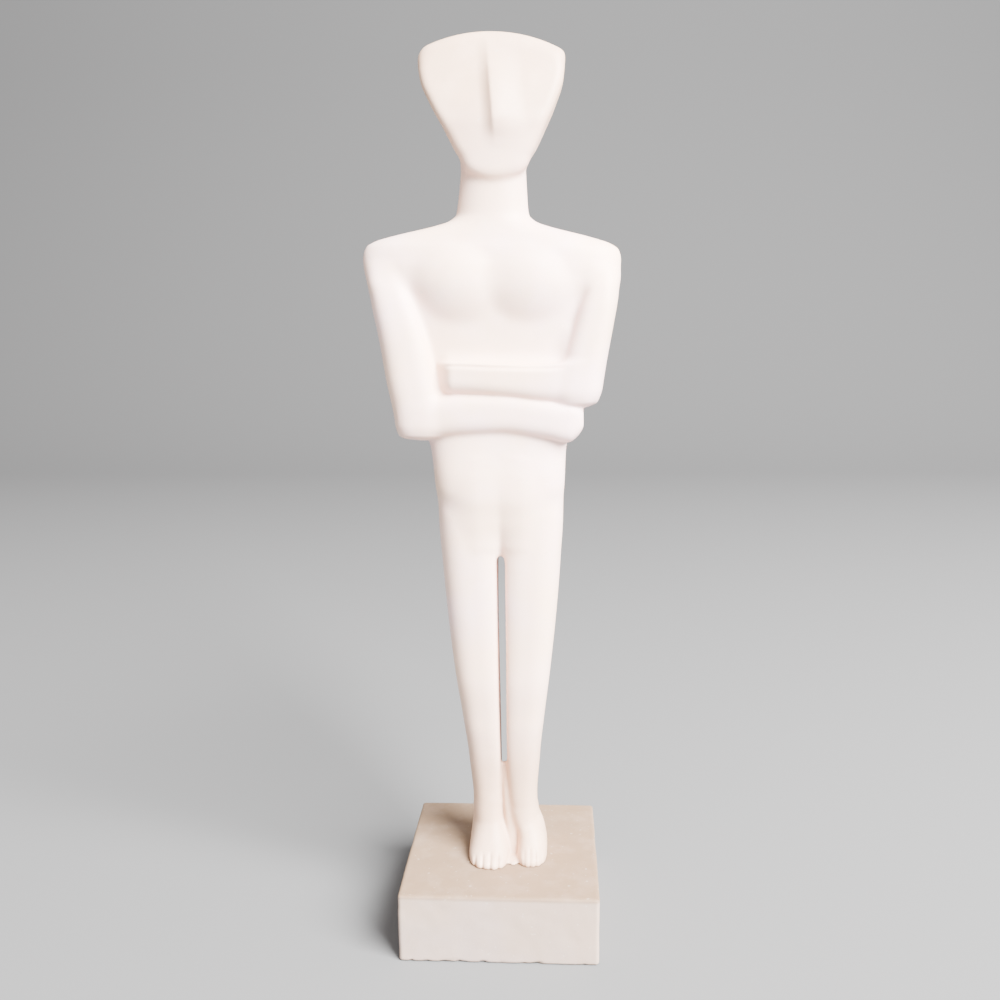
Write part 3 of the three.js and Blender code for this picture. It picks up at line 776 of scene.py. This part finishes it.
# in mm: the place, and the step between points there, or how wide the grid is at that height
gridSteps = {
    "across": [(-56, 0.95), (56, 0.95)],
    "deep": [(-21, 0.7), (-8, 0.8), (8, 1.0), (19, 0.9)],
    "up": [(-2, 0.55), (14, 0.6), (30, 1.4), (150, 1.8), (165, 1.0), (175, 0.75), (202, 0.7),
           (205, 0.42), (211, 0.42), (214, 0.7), (225, 1.1), (245, 1.0), (262, 0.9), (275, 0.8), (285, 0.9),
           (320, 1.0), (335, 0.7)],
    "widths": [(-2, 0.42), (40, 0.44), (120, 0.56), (172, 0.86), (200, 0.95), (252, 1.0), (262, 0.8),
               (280, 0.62), (335, 0.62)],
}


def plainMesh(name, places, quads, material):
    mesh = bpy.data.meshes.new(name)
    mesh.from_pydata(places.tolist(), [], quads.tolist())
    mesh.shade_smooth()
    mesh.materials.append(material)
    piece = bpy.data.objects.new(name, mesh)
    bpy.context.scene.collection.objects.link(piece)
    return piece


def makeFigure(form, steps, material):
    grid = Grid(*(spaced(steps[name]) for name in ("across", "deep", "up")), steps["widths"])
    field = carveFigure(grid, form)
    print("figure measured at", field.size, "points")
    points, quads = netOf(grid, field)
    places = lean(settle(grid, field, points, quads, netSettling), form)
    places[:, 2] += plinthTop
    print("figure net has", len(quads), "quads")
    return plainMesh("carvedFigure", places * mm, quads, material)


figureFinish = stoneMaterial("carvedStone", figureStone, stonePattern)
figurePiece = makeFigure(figureForm, gridSteps, figureFinish)
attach(figurePiece, "root")
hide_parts("figure")
print("figure made")


# Block under the feet

plinthShape = {
    "Width": plinthBox[1][0] - plinthBox[0][0], "Depth": plinthBox[1][1] - plinthBox[0][1],
    "Height": plinthBox[1][2] - plinthBox[0][2], "Corner": 0.0016, "Arris": 0.001,
    "Chip Depth": 0.0009, "Chip Size": 0.0045, "Chip Reach": 0.0018, "Unevenness": 0.0002,
}
plinthCells = {"Vertices X": 101, "Vertices Y": 101, "Vertices Z": 41}
plinthWear = {
    "crowding": 1.5,  # how much nearer together the points lie at the edges
    "chipDetail": 3.0, "chipFade": (0.5, 0.68),
    "waveScale": 90.0, "waveDetail": 1.0, "waveFade": (0.35, 0.75),
}


def plinthTree(shape, cells, wear, material):
    # a cube's points, drawn towards its edges, are laid on a block with rounded arrises,
    # and then the lower arris is chipped
    tree = bpy.data.node_groups.new("stoneBlock", "GeometryNodeTree")
    tree.interface.new_socket("Geometry", in_out="INPUT", socket_type="NodeSocketGeometry")
    for name in shape:
        tree.interface.new_socket(name, in_out="INPUT", socket_type="NodeSocketFloat")
    tree.interface.new_socket("Geometry", in_out="OUTPUT", socket_type="NodeSocketGeometry")
    bench = Bench(tree)
    start = tree.nodes.new("NodeGroupInput")
    given = {name: Wire(tree, start.outputs[name]) for name in shape}

    def triple(x, y, z):
        return bench.add("ShaderNodeCombineXYZ", {}, {0: x, 1: y, 2: z})

    def parted(vector):
        return [bench.add("ShaderNodeSeparateXYZ", {}, {0: vector}, n) for n in range(3)]

    cube = bench.add("GeometryNodeMeshCube", {}, {"Size": (2, 2, 2), **cells})
    place = bench.add("GeometryNodeInputPosition", {}, {})
    drawn = [q.sign() * (1 - (1 - q.size()) ** wear["crowding"]) for q in parted(place)]
    halves = [given[name] * 0.5 for name in ("Width", "Depth", "Height")]
    half = triple(*halves)
    full = bench.vector("MULTIPLY", triple(*drawn), half)
    round = triple(given["Corner"], given["Corner"], given["Arris"])
    inner = bench.vector("SUBTRACT", half, round)
    core = bench.vector("MINIMUM", full, inner)
    core = bench.vector("MAXIMUM", core, bench.vector("MULTIPLY", inner, (-1, -1, -1)))
    off = bench.vector("DIVIDE", bench.vector("SUBTRACT", full, core), round)
    facing = bench.vector("NORMALIZE", off, (0, 0, 0))
    skin = bench.vector("ADD", core, bench.vector("MULTIPLY", facing, round))

    x, y, z = parted(skin)
    reach = given["Chip Reach"]
    nearX = bench.fade(x.size(), halves[0] - reach, halves[0])
    nearY = bench.fade(y.size(), halves[1] - reach, halves[1])
    low = bench.fade(z * -1, halves[2] - reach, halves[2])
    values = {"Vector": skin, "Scale": 1 / given["Chip Size"], "Detail": wear["chipDetail"]}
    rough = bench.add("ShaderNodeTexNoise", {}, values)
    chip = bench.fade(rough, *wear["chipFade"]) * low * (nearX + nearY)
    values = {"Vector": skin, "Scale": wear["waveScale"], "Detail": wear["waveDetail"]}
    slow = bench.add("ShaderNodeTexNoise", {}, values)
    depth = chip * given["Chip Depth"] + bench.fade(slow, *wear["waveFade"]) * given["Unevenness"]
    sunk = bench.vector("SUBTRACT", skin, bench.vector("MULTIPLY", facing, triple(depth, depth, depth)))
    lifted = bench.vector("ADD", sunk, triple(0.0, 0.0, halves[2]))

    shaped = bench.add("GeometryNodeSetPosition", {}, {"Geometry": cube, "Position": lifted})
    smooth = bench.add("GeometryNodeSetShadeSmooth", {}, {"Geometry": shaped})
    real = bench.add("GeometryNodeRealizeInstances", {}, {"Geometry": smooth})
    painted = bench.add("GeometryNodeSetMaterial", {}, {"Geometry": real, "Material": material})
    end = tree.nodes.new("NodeGroupOutput")
    tree.links.new(painted.socket, end.inputs["Geometry"])
    return tree


def makePlinth(shape, cells, wear, material):
    tree = plinthTree(shape, cells, wear, material)
    mesh = bpy.data.meshes.new("blockStart")
    start = bpy.data.objects.new("blockStart", mesh)
    bpy.context.scene.collection.objects.link(start)
    modifier = start.modifiers.new("stoneBlock", "NODES")
    modifier.node_group = tree
    for item in tree.interface.items_tree:
        if item.name in shape:
            modifier[item.identifier] = shape[item.name]
    seen = start.evaluated_get(bpy.context.evaluated_depsgraph_get())
    made = bpy.data.meshes.new_from_object(seen)
    made.name = "stoneBlock"
    bpy.data.objects.remove(start)
    piece = bpy.data.objects.new("stoneBlock", made)
    bpy.context.scene.collection.objects.link(piece)
    return piece


plinthFinish = stoneMaterial("plinthStone", plinthStone, stonePattern)
plinthPiece = makePlinth(plinthShape, plinthCells, plinthWear, plinthFinish)
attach(plinthPiece, "root")
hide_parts("plinth")
print("block made with", len(plinthPiece.data.polygons), "faces")


# Floor, light and finish

stage = {
    "paint": (0.12, 0.12, 0.12, 1), "paintRoughness": 0.9,
    "width": 4.0, "front": -3.0, "back": 1.3, "bend": 0.9, "bendStep": 6, "height": 2.6,
    "world": (0.68, 0.66, 0.66, 1), "worldStrength": 1.95,
    "keyPlace": (1.05, -0.95, 1.3), "keySize": 1.15, "keyPower": 510.0, "aim": (0, 0, 0.2),
}


def makeStage(look):
    # a floor that sweeps up behind the object, so no horizon shows
    turns = [math.radians(a) for a in range(0, 91, look["bendStep"])]
    profile = [(look["front"], 0.0)]
    profile += [(look["back"] + look["bend"] * math.sin(a), look["bend"] * (1 - math.cos(a))) for a in turns]
    profile.append((look["back"] + look["bend"], look["height"]))
    points = [(side * look["width"], y, z) for y, z in profile for side in (-1, 1)]
    faces = [(2 * i, 2 * i + 1, 2 * i + 3, 2 * i + 2) for i in range(len(profile) - 1)]
    mesh = bpy.data.meshes.new("floor")
    mesh.from_pydata(points, [], faces)
    mesh.shade_smooth()
    floor = bpy.data.objects.new("floor", mesh)
    bpy.context.scene.collection.objects.link(floor)
    material = bpy.data.materials.new("floorPaint")
    material.use_nodes = True
    shader = material.node_tree.nodes["Principled BSDF"]
    shader.inputs["Base Color"].default_value = look["paint"]
    shader.inputs["Roughness"].default_value = look["paintRoughness"]
    mesh.materials.append(material)
    world = bpy.data.worlds.new("studio")
    world.use_nodes = True
    world.node_tree.nodes["Background"].inputs["Color"].default_value = look["world"]
    world.node_tree.nodes["Background"].inputs["Strength"].default_value = look["worldStrength"]
    bpy.context.scene.world = world
    data = bpy.data.lights.new("key", "AREA")
    data.size = look["keySize"]
    data.energy = look["keyPower"]
    lamp = bpy.data.objects.new("key", data)
    bpy.context.scene.collection.objects.link(lamp)
    lamp.location = look["keyPlace"]
    lamp.rotation_euler = (Vector(look["keyPlace"]) - Vector(look["aim"])).to_track_quat("Z", "Y").to_euler()


makeStage(stage)
print("stage made")
